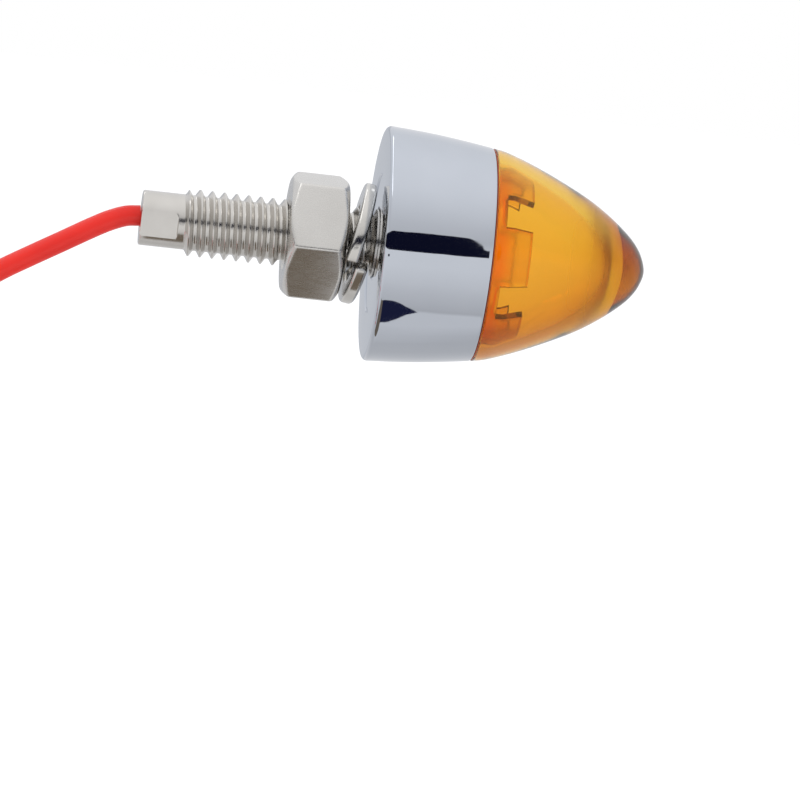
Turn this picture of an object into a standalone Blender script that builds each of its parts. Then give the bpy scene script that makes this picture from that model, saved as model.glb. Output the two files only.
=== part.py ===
"""Stud-mounted bullet turn signal: chrome turned housing, amber bullet lens,
hollow 5/16 in stud with hex nut and split lock washer, LED board, one lead.

Frame: +X runs along the stud axis towards the lens tip, +Z is up, and the
origin is the centre of the housing's back face, which seats on the bracket.
Every driving dimension below is in millimetres and is scaled by MM.
"""

import math

import bmesh
import bpy
from mathutils import Matrix, Vector

MM = 0.001

# ---------------------------------------------------------------- dimensions
SIDES = 40                      # facets round the large turned pieces
THREAD_SIDES = 18               # facets round the threaded pieces

# housing, a turned cup
SEAT_HOLE_R = 4.15
SEAT_RELIEF = 0.15              # the face round the hole sits this much deeper
SEAT_CLEAR_R = 8.1              # so that only the land outside this seats
RIM_R = 13.73
RIM_FILLET = 0.55
HOUSING_LENGTH = 12.6
HOUSING_STATIONS = ((0.55, 13.73), (3.4, 13.55), (6.4, 13.29), (9.3, 12.94),
                    (11.2, 12.68), (12.15, 12.54))
FRONT_FILLET = 0.32
BACK_WALL = 3.0
CAVITY_R = 10.6
LENS_SEAT_X = 9.6
LENS_SEAT_R = 11.75

# lens, a hollow ogive
LENS_BASE_X = 12.72
LENS_TIP_X = 31.84
LENS_OUTER = ((12.72, 12.44), (13.9, 12.25), (16.0, 11.58), (18.8, 10.48),
              (21.6, 9.22), (24.4, 7.82), (26.6, 6.44), (28.6, 4.94),
              (30.3, 3.35), (31.3, 1.86))
LENS_INNER = ((12.72, 10.95), (14.6, 10.62), (17.4, 9.58), (20.0, 8.36),
              (22.4, 7.04), (24.4, 5.66), (26.0, 4.12), (27.1, 2.44))
LENS_CAVITY_TIP_X = 27.7
SKIRT_REAR_X = 10.9
SKIRT_R = 11.62
SKIRT_INNER_R = 10.62

# castellated lens retainer
RETAINER_REAR_X = 9.9
RETAINER_WALL = 0.85
RETAINER_GAP_X = 13.9           # floor of the gaps between teeth
RETAINER_TOOTH_X = 17.05
RETAINER_TEETH = 6
RETAINER_TOOTH_DEG = 38.0
RETAINER_TURN_DEG = 177.0       # middle of the tooth nearest -Y

# stud, 5/16 in with 18 threads per inch
PITCH = 25.4 / 18
STUD_END_X = -27.34
STUD_BORE_R = 1.6
STUD_CREST_R = 3.90
STUD_ROOT_R = 3.20
THREAD_START_X = -22.45
THREAD_STOP_X = -0.40
THREAD_FADE = 0.55
NECK_R = 3.95
FLANGE_R = 5.6
FLANGE_X = (3.1, 4.1)
FLAT_DEPTH_R = 2.82             # from the axis to each wrench flat
FLAT_LENGTH = 4.35
FLAT_TURN_DEG = 190.0           # the flats face -Y, turned 10 degrees down

# thread form, as fractions of one pitch from the start of the crest
CREST = 0.125
FLANK = 0.3125
ROOT = 0.25

# hex nut
NUT_X = (-10.40, -3.65)
NUT_ACROSS_FLATS = 13.5
NUT_CORNER_DEG = 7.5
NUT_FACE_R = 6.38
NUT_CHAMFER_DEG = 30.0
NUT_MAJOR_R = 4.06
NUT_MINOR_R = 3.36
NUT_SINK_R = 4.35

# split lock washer
WASHER_INNER_R = 4.50
WASHER_OUTER_R = 7.10
WASHER_THICK = 1.45
WASHER_LIFT = 1.30              # axial offset of its two ends
WASHER_GAP_DEG = 2.6            # half of the split
WASHER_SPLIT_DEG = 199.0
WASHER_CANT_DEG = 9.2
WASHER_X = -1.92
WASHER_DROP = -0.25

# board and what is on it
BOARD_X = (6.6, 7.6)
BOARD_R = 10.2
SPACER_R = (9.2, 10.35)
REFLECTOR_X = (7.9, 12.9)
LED_SIZE = (1.4, 2.8, 3.4)
LED_RING_R = 2.75
SPRING_AT = (-7.0, 0.0)

# lead
LEAD_R = 1.2
CORE_R = 0.42
LEAD_ROUTE = ((-27.34, 0.0, 0.18), (-28.95, 0.0, -0.03), (-30.7, 0.0, -0.70),
              (-32.5, 0.0, -1.66), (-36.0, 0.0, -3.76), (-39.55, 0.0, -5.88),
              (-42.8, 0.0, -7.90), (-45.9, -0.3, -10.2), (-48.6, -1.1, -13.1),
              (-50.4, -2.7, -16.4), (-51.1, -4.6, -20.0), (-51.2, -6.0, -23.8))
HANK_X = -51.2                  # first turn of the hank
HANK_STEP = -2.6                # each turn lies beside the last
HANK_TURNS = 3
HANK_BEND_R = 7.2
HANK_PINCH = 3.5              # half the gap between the sides under the tie
HANK_TOP_Z = -31.4
HANK_BOTTOM_Z = -60.2
TAIL_END_Z = -72.0
TIP_END_Z = -78.0
TOUCH = 0.3                     # gap kept between pieces that meet end to end


# ------------------------------------------------------------------- helpers
def clear_scene():
    for obj in list(bpy.data.objects):
        bpy.data.objects.remove(obj, do_unlink=True)


def principled(name, colour, roughness, metallic=0.0, alpha=1.0):
    material = bpy.data.materials.new(name)
    material.use_nodes = True
    shader = material.node_tree.nodes["Principled BSDF"]
    shader.inputs["Base Color"].default_value = (*colour, 1.0)
    shader.inputs["Roughness"].default_value = roughness
    shader.inputs["Metallic"].default_value = metallic
    shader.inputs["Alpha"].default_value = alpha
    material.diffuse_color = (*colour, alpha)
    return material


def add_object(name, data, material, location=(0, 0, 0)):
    obj = bpy.data.objects.new(name, data)
    bpy.context.scene.collection.objects.link(obj)
    obj.location = [MM * c for c in location]
    obj.data.materials.append(material)
    return obj


def finish_mesh(name, bm, material, location=(0, 0, 0), sharp_deg=35):
    """Turns a bmesh in millimetres into a closed, outward-facing object."""
    bmesh.ops.remove_doubles(bm, verts=bm.verts, dist=1e-4)
    bmesh.ops.recalc_face_normals(bm, faces=bm.faces)
    bmesh.ops.scale(bm, vec=(MM, MM, MM), verts=bm.verts)
    mesh = bpy.data.meshes.new(name)
    bm.to_mesh(mesh)
    bm.free()
    mesh.shade_smooth()
    mesh.set_sharp_from_angle(angle=math.radians(sharp_deg))
    return add_object(name, mesh, material, location)


def on_circle(x, r, angle):
    return Vector((x, r * math.cos(angle), r * math.sin(angle)))


def add_ring(bm, x, r, sides, turn_deg=0.0):
    if r == 0:
        return [bm.verts.new((x, 0, 0))]
    turn = math.radians(turn_deg)
    return [bm.verts.new(on_circle(x, r, turn + 2 * math.pi * j / sides))
            for j in range(sides)]


def join_rings(bm, a, b):
    n = max(len(a), len(b))
    for j in range(n):
        k = (j + 1) % n
        if len(a) == 1:
            bm.faces.new((a[0], b[k], b[j]))
        elif len(b) == 1:
            bm.faces.new((a[j], a[k], b[0]))
        else:
            bm.faces.new((a[j], a[k], b[k], b[j]))


def add_turned(bm, profile, sides, closed, turn_deg=0.0):
    rings = [add_ring(bm, x, r, sides, turn_deg) for x, r in profile]
    for a, b in zip(rings, rings[1:]):
        join_rings(bm, a, b)
    if closed:
        join_rings(bm, rings[-1], rings[0])
    return rings


def turned(name, profile, material, sides=SIDES, sharp_deg=35):
    """A solid of revolution about X from (x, r) points. A profile that starts
    and ends on the axis is solid, and any other is a closed loop."""
    bm = bmesh.new()
    add_turned(bm, profile, sides, profile[0][1] != 0 or profile[-1][1] != 0)
    return finish_mesh(name, bm, material, sharp_deg=sharp_deg)


def smooth_through(points, steps):
    """A centripetal Catmull-Rom curve through points, steps pieces a span."""
    pts = [Vector(p) for p in points]
    pts = [2 * pts[0] - pts[1]] + pts + [2 * pts[-1] - pts[-2]]
    out = []
    for p0, p1, p2, p3 in zip(pts, pts[1:], pts[2:], pts[3:]):
        t0 = 0.0
        t1 = t0 + (p1 - p0).length ** 0.5
        t2 = t1 + (p2 - p1).length ** 0.5
        t3 = t2 + (p3 - p2).length ** 0.5
        for i in range(steps):
            t = t1 + (t2 - t1) * i / steps
            a1 = p0 * ((t1 - t) / (t1 - t0)) + p1 * ((t - t0) / (t1 - t0))
            a2 = p1 * ((t2 - t) / (t2 - t1)) + p2 * ((t - t1) / (t2 - t1))
            a3 = p2 * ((t3 - t) / (t3 - t2)) + p3 * ((t - t2) / (t3 - t2))
            b1 = a1 * ((t2 - t) / (t2 - t0)) + a2 * ((t - t0) / (t2 - t0))
            b2 = a2 * ((t3 - t) / (t3 - t1)) + a3 * ((t - t1) / (t3 - t1))
            out.append(b1 * ((t2 - t) / (t2 - t1)) + b2 * ((t - t1) / (t2 - t1)))
    return out + [pts[-2]]


def dome_through(stations, tip_x, steps):
    """A meridian through (x, r) stations that meets the axis square on."""
    mirror = [(x, -r) for x, r in reversed(stations[-2:])]
    whole = smooth_through([*stations, (tip_x, 0.0), *mirror], steps)
    upto = len(stations) * steps
    return [(p.x, p.y) for p in whole[:upto]] + [(tip_x, 0)]


def radius_at(meridian, x):
    for (xa, ra), (xb, rb) in zip(meridian, meridian[1:]):
        if xa - 1e-4 <= x <= xb + 1e-4:
            return ra + (rb - ra) * (x - xa) / (xb - xa)
    raise ValueError(x)


def fillet(cx, cr, radius, start_deg, stop_deg, steps):
    """Points on an arc in the (x, r) plane."""
    angles = [math.radians(start_deg + (stop_deg - start_deg) * i / steps)
              for i in range(steps + 1)]
    return [(cx + radius * math.cos(a), cr + radius * math.sin(a)) for a in angles]


def add_helix_skin(bm, x0, x1, crest_r, root_r, plain_r, fade, turn_deg=0.0):
    """A right-hand 60 degree thread between x0 and x1, as a skin whose rows
    follow the helix. It fades to plain_r at both ends, where it ends in a
    plain ring. Nut and stud share its phase, so they are in mesh at rest."""
    marks = (0.0, CREST, CREST + FLANK, CREST + FLANK + ROOT)
    radii = (crest_r, crest_r, root_r, root_r)
    turn = math.radians(turn_deg)
    n = THREAD_SIDES
    rows = []
    for k in range(math.floor(x0 / PITCH) - 2, math.ceil(x1 / PITCH) + 2):
        for mark, target in zip(marks, radii):
            row = []
            for j in range(n):
                angle = turn + 2 * math.pi * j / n
                x = (k + mark + angle / (2 * math.pi)) * PITCH
                x = min(max(x, x0), x1)
                share = min(1.0, (x - x0) / fade, (x1 - x) / fade)
                r = plain_r + (target - plain_r) * share
                row.append(bm.verts.new(on_circle(x, r, angle)))
            rows.append(row)
    for i in range(len(rows) - 5):
        for j in range(n):
            if j < n - 1:
                a, b = rows[i][j + 1], rows[i + 1][j + 1]
            else:
                a, b = rows[i + 4][0], rows[i + 5][0]
            bm.faces.new((rows[i][j], a, b, rows[i + 1][j]))


def drop_loose(bm):
    """Clears the collapsed rows beyond both ends of a helix skin."""
    bmesh.ops.remove_doubles(bm, verts=bm.verts, dist=1e-4)
    loose = [v for v in bm.verts if not v.link_faces]
    bmesh.ops.delete(bm, geom=loose, context="VERTS")


def tube(name, points, radius, material, resolution=2):
    """A round cord through points, in millimetres."""
    curve = bpy.data.curves.new(name, "CURVE")
    curve.dimensions = "3D"
    spline = curve.splines.new("POLY")
    spline.points.add(len(points) - 1)
    for target, p in zip(spline.points, points):
        target.co = (p[0] * MM, p[1] * MM, p[2] * MM, 1)
    curve.bevel_depth = radius * MM
    curve.bevel_resolution = resolution
    curve.use_fill_caps = True
    return add_object(name, curve, material)


def box_mesh(name, size, material, location, chamfer=0.12):
    bm = bmesh.new()
    bmesh.ops.create_cube(bm, size=1.0)
    bmesh.ops.scale(bm, vec=size, verts=bm.verts)
    bmesh.ops.bevel(bm, geom=bm.edges[:], offset=chamfer, segments=1,
                    affect="EDGES")
    return finish_mesh(name, bm, material, location)


def even_points(points, spacing):
    """Points read off a fine curve at an even spacing."""
    out = [points[0]]
    run = 0.0
    for a, b in zip(points, points[1:]):
        run += (b - a).length
        if run >= spacing:
            out.append(b)
            run = 0.0
    if (points[-1] - out[-1]).length < spacing / 3:
        out[-1] = points[-1]
    else:
        out.append(points[-1])
    return out


# ------------------------------------------------------------------- pieces
def build_housing(chrome):
    outer = smooth_through(HOUSING_STATIONS, 3)
    edge = outer[-1]
    profile = [(SEAT_RELIEF, SEAT_HOLE_R), (SEAT_RELIEF, SEAT_CLEAR_R),
               (0, SEAT_CLEAR_R + SEAT_RELIEF)]
    profile += fillet(RIM_FILLET, RIM_R - RIM_FILLET, RIM_FILLET, 180, 90, 3)
    profile += [(p.x, p.y) for p in outer[1:-1]]
    profile += fillet(HOUSING_LENGTH - FRONT_FILLET, edge.y - FRONT_FILLET - 0.023,
                      FRONT_FILLET, 81.4, 0, 3)
    profile += [(HOUSING_LENGTH, LENS_SEAT_R), (LENS_SEAT_X, LENS_SEAT_R),
                (LENS_SEAT_X, CAVITY_R), (BACK_WALL + 0.5, CAVITY_R),
                (BACK_WALL, CAVITY_R - 0.5), (BACK_WALL, SEAT_HOLE_R)]
    return turned("housing", profile, chrome)


def build_lens(amber):
    outer = dome_through(LENS_OUTER, LENS_TIP_X, 1)
    inner = dome_through(LENS_INNER, LENS_CAVITY_TIP_X, 1)
    profile = outer[::-1] + [(LENS_BASE_X, SKIRT_R), (SKIRT_REAR_X, SKIRT_R),
                             (SKIRT_REAR_X, SKIRT_INNER_R),
                             (LENS_BASE_X - 0.35, SKIRT_INNER_R)] + inner
    return turned("lens", profile, amber)


def build_retainer(material):
    """A ring that follows the lens wall, cut into teeth at its front."""
    inner = dome_through(LENS_INNER, LENS_CAVITY_TIP_X, 1)
    stations = [RETAINER_REAR_X, 12.3, RETAINER_GAP_X, 15.6, RETAINER_TOOTH_X]
    outer_r = [min(10.38, radius_at(inner, max(x, LENS_BASE_X)) - 0.22)
               for x in stations]
    bm = bmesh.new()
    columns = []
    pitch = 360.0 / RETAINER_TEETH
    half = RETAINER_TOOTH_DEG / 2
    for tooth in range(RETAINER_TEETH):
        middle = RETAINER_TURN_DEG + tooth * pitch
        for part in range(4):
            columns.append((middle - half + RETAINER_TOOTH_DEG * part / 3, part < 3))
        columns.append((middle + half + (pitch - RETAINER_TOOTH_DEG) / 2, False))
    grid = []
    for degrees, _ in columns:
        a = math.radians(degrees)
        grid.append([(bm.verts.new(on_circle(x, r, a)),
                      bm.verts.new(on_circle(x, r - RETAINER_WALL, a)))
                     for x, r in zip(stations, outer_r)])
    n = len(columns)
    for c in range(n):
        here, after, tall = grid[c], grid[(c + 1) % n], columns[c][1]
        before_tall = columns[c - 1][1]
        top = len(stations) - 1 if tall else 2
        for s in range(top):
            for side in (0, 1):
                bm.faces.new((here[s][side], after[s][side],
                              after[s + 1][side], here[s + 1][side]))
        bm.faces.new((here[0][0], here[0][1], after[0][1], after[0][0]))
        bm.faces.new((here[top][0], here[top][1], after[top][1], after[top][0]))
        if tall != before_tall:
            for s in range(2, len(stations) - 1):
                bm.faces.new((here[s][0], here[s][1],
                              here[s + 1][1], here[s + 1][0]))
    bm.verts.ensure_lookup_table()
    loose = [v for v in bm.verts if not v.link_faces]
    bmesh.ops.delete(bm, geom=loose, context="VERTS")
    return finish_mesh("lens_retainer", bm, material)


def build_o_ring(rubber):
    profile = fillet(10.2, 11.17, 0.48, 0, 315, 7)
    return turned("o_ring", profile, rubber, sides=32, sharp_deg=80)


def build_stud(steel):
    n = THREAD_SIDES
    bm = bmesh.new()
    outside = [(STUD_END_X, STUD_BORE_R + 0.15), (STUD_END_X, STUD_ROOT_R - 0.18),
               (STUD_END_X + 0.18, STUD_ROOT_R), (THREAD_START_X, STUD_ROOT_R)]
    add_turned(bm, outside, n, False)
    add_helix_skin(bm, THREAD_START_X, THREAD_STOP_X, STUD_CREST_R, STUD_ROOT_R,
                   STUD_ROOT_R, THREAD_FADE)
    inside = [(THREAD_STOP_X, STUD_ROOT_R), (THREAD_STOP_X + 0.2, NECK_R),
              (FLANGE_X[0], NECK_R), (FLANGE_X[0], FLANGE_R),
              (FLANGE_X[1], FLANGE_R), (FLANGE_X[1], STUD_BORE_R),
              (STUD_END_X + 0.15, STUD_BORE_R), (STUD_END_X, STUD_BORE_R + 0.15)]
    add_turned(bm, inside, n, False)
    drop_loose(bm)
    stud = finish_mesh("stud", bm, steel)
    # two wrench flats milled across the plain end
    for name, side in (("flat_cutter_front", 1), ("flat_cutter_back", -1)):
        cutter = bmesh.new()
        bmesh.ops.create_cube(cutter, size=1.0)
        bmesh.ops.scale(cutter, vec=(FLAT_LENGTH + 2, 4.0, 12.0), verts=cutter.verts)
        bmesh.ops.translate(
            cutter, verts=cutter.verts,
            vec=(STUD_END_X - 2 + (FLAT_LENGTH + 2) / 2, side * (FLAT_DEPTH_R + 2), 0))
        turn = Matrix.Rotation(math.radians(FLAT_TURN_DEG), 3, "X")
        bmesh.ops.rotate(cutter, matrix=turn, verts=cutter.verts)
        tool = finish_mesh(name, cutter, steel)
        tool.hide_render = True
        tool.display_type = "WIRE"
        cut = stud.modifiers.new(name, "BOOLEAN")
        cut.operation = "DIFFERENCE"
        cut.object = tool
    return stud


def build_nut(steel):
    n = THREAD_SIDES
    x0, x1 = NUT_X
    rise = math.tan(math.radians(NUT_CHAMFER_DEG))
    bm = bmesh.new()

    def hex_ring(end_x, inward):
        ring = []
        for j in range(n):
            angle = 2 * math.pi * j / n
            off_face = (angle % (math.pi / 3)) - math.pi / 6
            r = NUT_ACROSS_FLATS / 2 / math.cos(off_face)
            x = end_x + inward * (r - NUT_FACE_R) * rise
            ring.append(bm.verts.new(
                on_circle(x, r, angle + math.radians(NUT_CORNER_DEG))))
        return ring

    sink = 0.35
    left = [add_ring(bm, x, r, n, NUT_CORNER_DEG)
            for x, r in ((x0 + sink, NUT_MAJOR_R), (x0, NUT_SINK_R), (x0, NUT_FACE_R))]
    right = [add_ring(bm, x, r, n, NUT_CORNER_DEG)
             for x, r in ((x1, NUT_FACE_R), (x1, NUT_SINK_R), (x1 - sink, NUT_MAJOR_R))]
    rings = [*left, hex_ring(x0, 1), hex_ring(x1, -1), *right]
    for a, b in zip(rings, rings[1:]):
        join_rings(bm, a, b)
    add_helix_skin(bm, x0 + sink, x1 - sink, NUT_MAJOR_R, NUT_MINOR_R,
                   NUT_MAJOR_R, 0.4, NUT_CORNER_DEG)
    drop_loose(bm)
    return finish_mesh("hex_nut", bm, steel)


def build_washer(steel):
    """One left-hand turn of a soft-cornered section, resting askew."""
    start = WASHER_SPLIT_DEG - WASHER_GAP_DEG
    span = 360.0 - 2 * WASHER_GAP_DEG
    steps = 44
    half_w = (WASHER_OUTER_R - WASHER_INNER_R) / 2
    half_t = WASHER_THICK / 2
    soft = 0.36
    section = []
    for sx, sr in ((1, 1), (-1, 1), (-1, -1), (1, -1)):
        a = (sx * (half_t - soft), sr * half_w)
        b = (sx * half_t, sr * (half_w - soft))
        section += [b, a] if sx == sr else [a, b]
    cant = Matrix.Rotation(math.radians(WASHER_CANT_DEG), 3, "Y")
    at = Vector((WASHER_X, 0, WASHER_DROP))
    mean_r = (WASHER_OUTER_R + WASHER_INNER_R) / 2
    bm = bmesh.new()
    rings = []
    for i in range(steps + 1):
        t = i / steps
        angle = math.radians(start - span * t)
        ring = []
        for dx, dr in section:
            p = on_circle(WASHER_LIFT * (t - 0.5) + dx, mean_r + dr, angle)
            ring.append(bm.verts.new(cant @ p + at))
        rings.append(ring)
    for a, b in zip(rings, rings[1:]):
        join_rings(bm, a, b)
    bm.faces.new(rings[0])
    bm.faces.new(rings[-1])
    return finish_mesh("lock_washer", bm, steel)


def build_electrics(mats):
    turned("circuit_board",
           [(BOARD_X[0], 0.65), (BOARD_X[0], BOARD_R), (BOARD_X[1], BOARD_R),
            (BOARD_X[1], 0.65)], mats["board"], sides=36)
    turned("board_spacer",
           [(BACK_WALL + 0.65, SPACER_R[0]), (BACK_WALL + 0.65, SPACER_R[1] - 0.5),
            (BACK_WALL + 1.15, SPACER_R[1]), (BOARD_X[0] - 0.15, SPACER_R[1]),
            (BOARD_X[0] - 0.15, SPACER_R[0])], mats["nylon"], sides=36)
    x0, x1 = REFLECTOR_X
    bowl = [(x0 + 0.5 + (x1 - x0 - 0.5) * t, 5.0 + 3.85 * t ** 0.8)
            for t in (0.0, 0.2, 0.45, 0.7, 1.0)]
    turned("reflector", [(x0, 5.0), *bowl, (x1, 9.2), (x0 + 1.2, 9.2),
                         (x0, 8.0)], mats["mirror"], sides=36)
    turned("solder_joint",
           [(BOARD_X[1] + 0.1, 0), (BOARD_X[1] + 0.1, 1.0), (BOARD_X[1] + 0.35, 0.8),
            (BOARD_X[1] + 0.65, 0.4), (BOARD_X[1] + 0.72, 0)], mats["solder"], sides=16)
    for k in range(3):
        angle = math.radians(90 + 120 * k)
        y, z = LED_RING_R * math.cos(angle), LED_RING_R * math.sin(angle)
        led = box_mesh(f"led_{k + 1}", LED_SIZE, mats["led"],
                       (BOARD_X[1] + 0.1 + LED_SIZE[0] / 2, y, z))
        led.rotation_euler = (angle, 0, 0)
    rear = BOARD_X[0] - 0.1
    box_mesh("resistor_1", (0.6, 1.6, 3.2), mats["chip"], (rear - 0.3, -5.2, 3.0), 0.08)
    box_mesh("resistor_2", (0.6, 1.6, 3.2), mats["chip"], (rear - 0.3, 5.2, 3.0), 0.08)
    box_mesh("diode", (1.1, 2.6, 1.6), mats["chip"], (rear - 0.55, 0.0, 7.0), 0.12)
    # spring that carries the return current from the board to the housing
    y0, z0 = SPRING_AT[1], SPRING_AT[0]
    turns, n = 3.5, 12
    start, stop = BACK_WALL + 0.35, BOARD_X[0] - 0.35
    points = []
    for i in range(int(turns * n) + 1):
        t = i / (turns * n)
        a = 2 * math.pi * turns * t
        points.append((start + (stop - start) * t, y0 + 1.1 * math.cos(a),
                       z0 + 1.1 * math.sin(a)))
    tube("ground_spring", points, 0.2, mats["spring"], resolution=0)


def hank_half_width(z):
    """How far the hank's sides stand from its middle; the tie draws them in."""
    middle, half = (HANK_TOP_Z + HANK_BOTTOM_Z) / 2, (HANK_TOP_Z - HANK_BOTTOM_Z) / 2
    share = min(1.0, max(0.0, (abs(z - middle) / half - 0.12) / 0.88))
    return HANK_PINCH + (HANK_BEND_R - HANK_PINCH) * share * share * (3 - 2 * share)


def build_lead(mats):
    bore_end = STUD_END_X + TOUCH
    turned("lead_inner", [(bore_end, 0), (bore_end, LEAD_R), (5.6, LEAD_R), (5.6, 0)],
           mats["lead"], sides=12)
    turned("lead_core", [(5.75, 0), (5.75, CORE_R), (7.55, CORE_R), (7.55, 0)],
           mats["copper"], sides=10)
    turned("wire_sleeve",
           [(STUD_END_X + 0.7, 1.30), (STUD_END_X + 0.7, 1.48),
            (STUD_END_X + 5.0, 1.48), (STUD_END_X + 5.0, 1.30)],
           mats["rubber"], sides=THREAD_SIDES)
    turned("inner_grommet",
           [(4.25, 1.32), (4.25, 3.0), (4.9, 3.0), (5.3, 2.4), (5.3, 1.32)],
           mats["rubber"], sides=THREAD_SIDES)
    fine = smooth_through(LEAD_ROUTE, 24)
    tube("lead_free", even_points(fine, 1.6), LEAD_R, mats["lead"])

    # the put-away length, as the outer shape of its hank
    outline_r = HANK_BEND_R + LEAD_R
    outline = []
    height = HANK_TOP_Z - HANK_BOTTOM_Z
    for top, middle in ((True, HANK_TOP_Z), (False, HANK_BOTTOM_Z)):
        for i in range(9):
            a = math.pi * i / 8 + (0 if top else math.pi)
            outline.append((outline_r * math.cos(a), middle + outline_r * math.sin(a)))
        for t in (0.12, 0.24, 0.34, 0.44, 0.56, 0.66, 0.76, 0.88):
            z = HANK_TOP_Z - height * t if top else HANK_BOTTOM_Z + height * t
            half = hank_half_width(z) + LEAD_R
            outline.append((-half if top else half, z))
    bm = bmesh.new()
    near = HANK_X + LEAD_R
    far = HANK_X + HANK_STEP * (HANK_TURNS - 1) - LEAD_R
    rings = [[bm.verts.new((x, y, z)) for y, z in outline] for x in (near, far)]
    join_rings(bm, *rings)
    for ring in rings:
        bm.faces.new(ring)
    finish_mesh("lead_hank", bm, mats["lead"])

    # a soft tie round the hank's waist
    middle_x = (near + far) / 2
    middle_z = (HANK_TOP_Z + HANK_BOTTOM_Z) / 2
    hx, hy = (near - far) / 2 + TOUCH, HANK_PINCH + LEAD_R + TOUCH
    bm = bmesh.new()
    loops = []
    for grow, dz in ((0, -1.3), (0.7, -1.3), (0.7, 1.3), (0, 1.3)):
        corner = 0.8 + grow
        loop = []
        for cx, cy, start in ((1, 1, 0), (-1, 1, 90), (-1, -1, 180), (1, -1, 270)):
            for step in range(3):
                a = math.radians(start + 45 * step)
                loop.append(bm.verts.new((
                    middle_x + cx * (hx - 0.8) + corner * math.cos(a),
                    cy * (hy - 0.8) + corner * math.sin(a), middle_z + dz)))
        loops.append(loop)
    for a, b in zip(loops, loops[1:] + loops[:1]):
        join_rings(bm, a, b)
    finish_mesh("lead_tie", bm, mats["tie"])

    # the end that leaves the hank, stripped and tinned
    tail_top = (HANK_BOTTOM_Z - TOUCH
                - math.sqrt(outline_r ** 2 - (HANK_BEND_R - LEAD_R) ** 2))
    tail_x = HANK_X + HANK_STEP * (HANK_TURNS - 1)
    tail = smooth_through(((tail_x, -HANK_BEND_R, tail_top),
                           (tail_x - 0.2, -HANK_BEND_R + 0.1, tail_top - 2.8),
                           (tail_x - 0.5, -HANK_BEND_R + 0.4, TAIL_END_Z)), 8)
    tube("lead_tail", even_points(tail, 1.6), LEAD_R, mats["lead"])
    way = (tail[-1] - tail[-2]).normalized()
    start = tail[-1] + way * TOUCH
    length = abs(TIP_END_Z - TAIL_END_Z)
    tube("lead_tip", [start + way * (length - TOUCH) * t for t in (0, 0.5, 1)],
         CORE_R * 1.2, mats["tinned"])


def main():
    clear_scene()
    chrome = principled("chrome_plate", (0.80, 0.82, 0.86), 0.04, 1.0)
    steel = principled("stainless_steel", (0.66, 0.64, 0.61), 0.26, 1.0)
    washer_steel = principled("sprung_steel", (0.72, 0.71, 0.70), 0.14, 1.0)
    amber = principled("amber_plastic", (0.95, 0.45, 0.03), 0.08, 0.0, 0.7)
    retainer = principled("retainer_plastic", (0.85, 0.42, 0.06), 0.25, 0.0, 0.8)
    rubber = principled("black_rubber", (0.02, 0.02, 0.02), 0.7)
    mats = {
        "board": principled("board_laminate", (0.75, 0.76, 0.72), 0.45),
        "nylon": principled("white_nylon", (0.82, 0.81, 0.77), 0.5),
        "mirror": principled("bright_reflector", (0.88, 0.88, 0.88), 0.12, 1.0),
        "solder": principled("solder", (0.62, 0.62, 0.62), 0.3, 1.0),
        "led": principled("led_package", (0.92, 0.78, 0.30), 0.35),
        "chip": principled("chip_body", (0.03, 0.03, 0.03), 0.4),
        "spring": principled("spring_steel", (0.60, 0.56, 0.45), 0.3, 1.0),
        "lead": principled("red_pvc", (0.78, 0.06, 0.04), 0.42),
        "copper": principled("bare_copper", (0.80, 0.42, 0.26), 0.3, 1.0),
        "tinned": principled("tinned_copper", (0.66, 0.62, 0.58), 0.35, 1.0),
        "tie": principled("tie_nylon", (0.03, 0.03, 0.032), 0.4),
        "rubber": rubber,
    }
    build_housing(chrome)
    build_lens(amber)
    build_retainer(retainer)
    build_o_ring(rubber)
    build_stud(steel)
    build_nut(steel)
    build_washer(washer_steel)
    build_electrics(mats)
    build_lead(mats)


main()
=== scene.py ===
import math

import bmesh
import bpy
from mathutils import Matrix, Vector


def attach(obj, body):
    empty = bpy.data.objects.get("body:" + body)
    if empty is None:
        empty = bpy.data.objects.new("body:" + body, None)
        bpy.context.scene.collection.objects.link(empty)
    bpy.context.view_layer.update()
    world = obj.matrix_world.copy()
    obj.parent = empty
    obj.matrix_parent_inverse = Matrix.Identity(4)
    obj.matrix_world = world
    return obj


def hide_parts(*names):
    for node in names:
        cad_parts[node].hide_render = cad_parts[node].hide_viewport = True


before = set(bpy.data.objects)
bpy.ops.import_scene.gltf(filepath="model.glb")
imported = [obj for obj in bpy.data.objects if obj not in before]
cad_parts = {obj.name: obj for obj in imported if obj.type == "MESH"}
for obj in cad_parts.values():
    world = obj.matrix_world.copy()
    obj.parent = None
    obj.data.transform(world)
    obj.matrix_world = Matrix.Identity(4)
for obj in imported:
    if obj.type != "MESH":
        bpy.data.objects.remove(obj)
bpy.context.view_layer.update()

# Everything is worked out in millimetres and scaled by MM. The dimensions are
# those of the CAD source.
MM = 0.001

# ---------------------------------------------------------------- dimensions
SEAT_RELIEF = 0.15
SEAT_HOLE_R = 4.15
SEAT_CLEAR_R = 8.1
RIM_R = 13.73
RIM_FILLET = 0.55
HOUSING_LENGTH = 12.6
HOUSING_STATIONS = ((0.55, 13.73), (3.4, 13.55), (6.4, 13.29), (9.3, 12.94),
                    (11.2, 12.68), (12.15, 12.54))
FRONT_FILLET = 0.32
BACK_WALL = 3.0
CAVITY_R = 10.6
LENS_SEAT_X = 9.6
LENS_SEAT_R = 11.75

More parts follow.
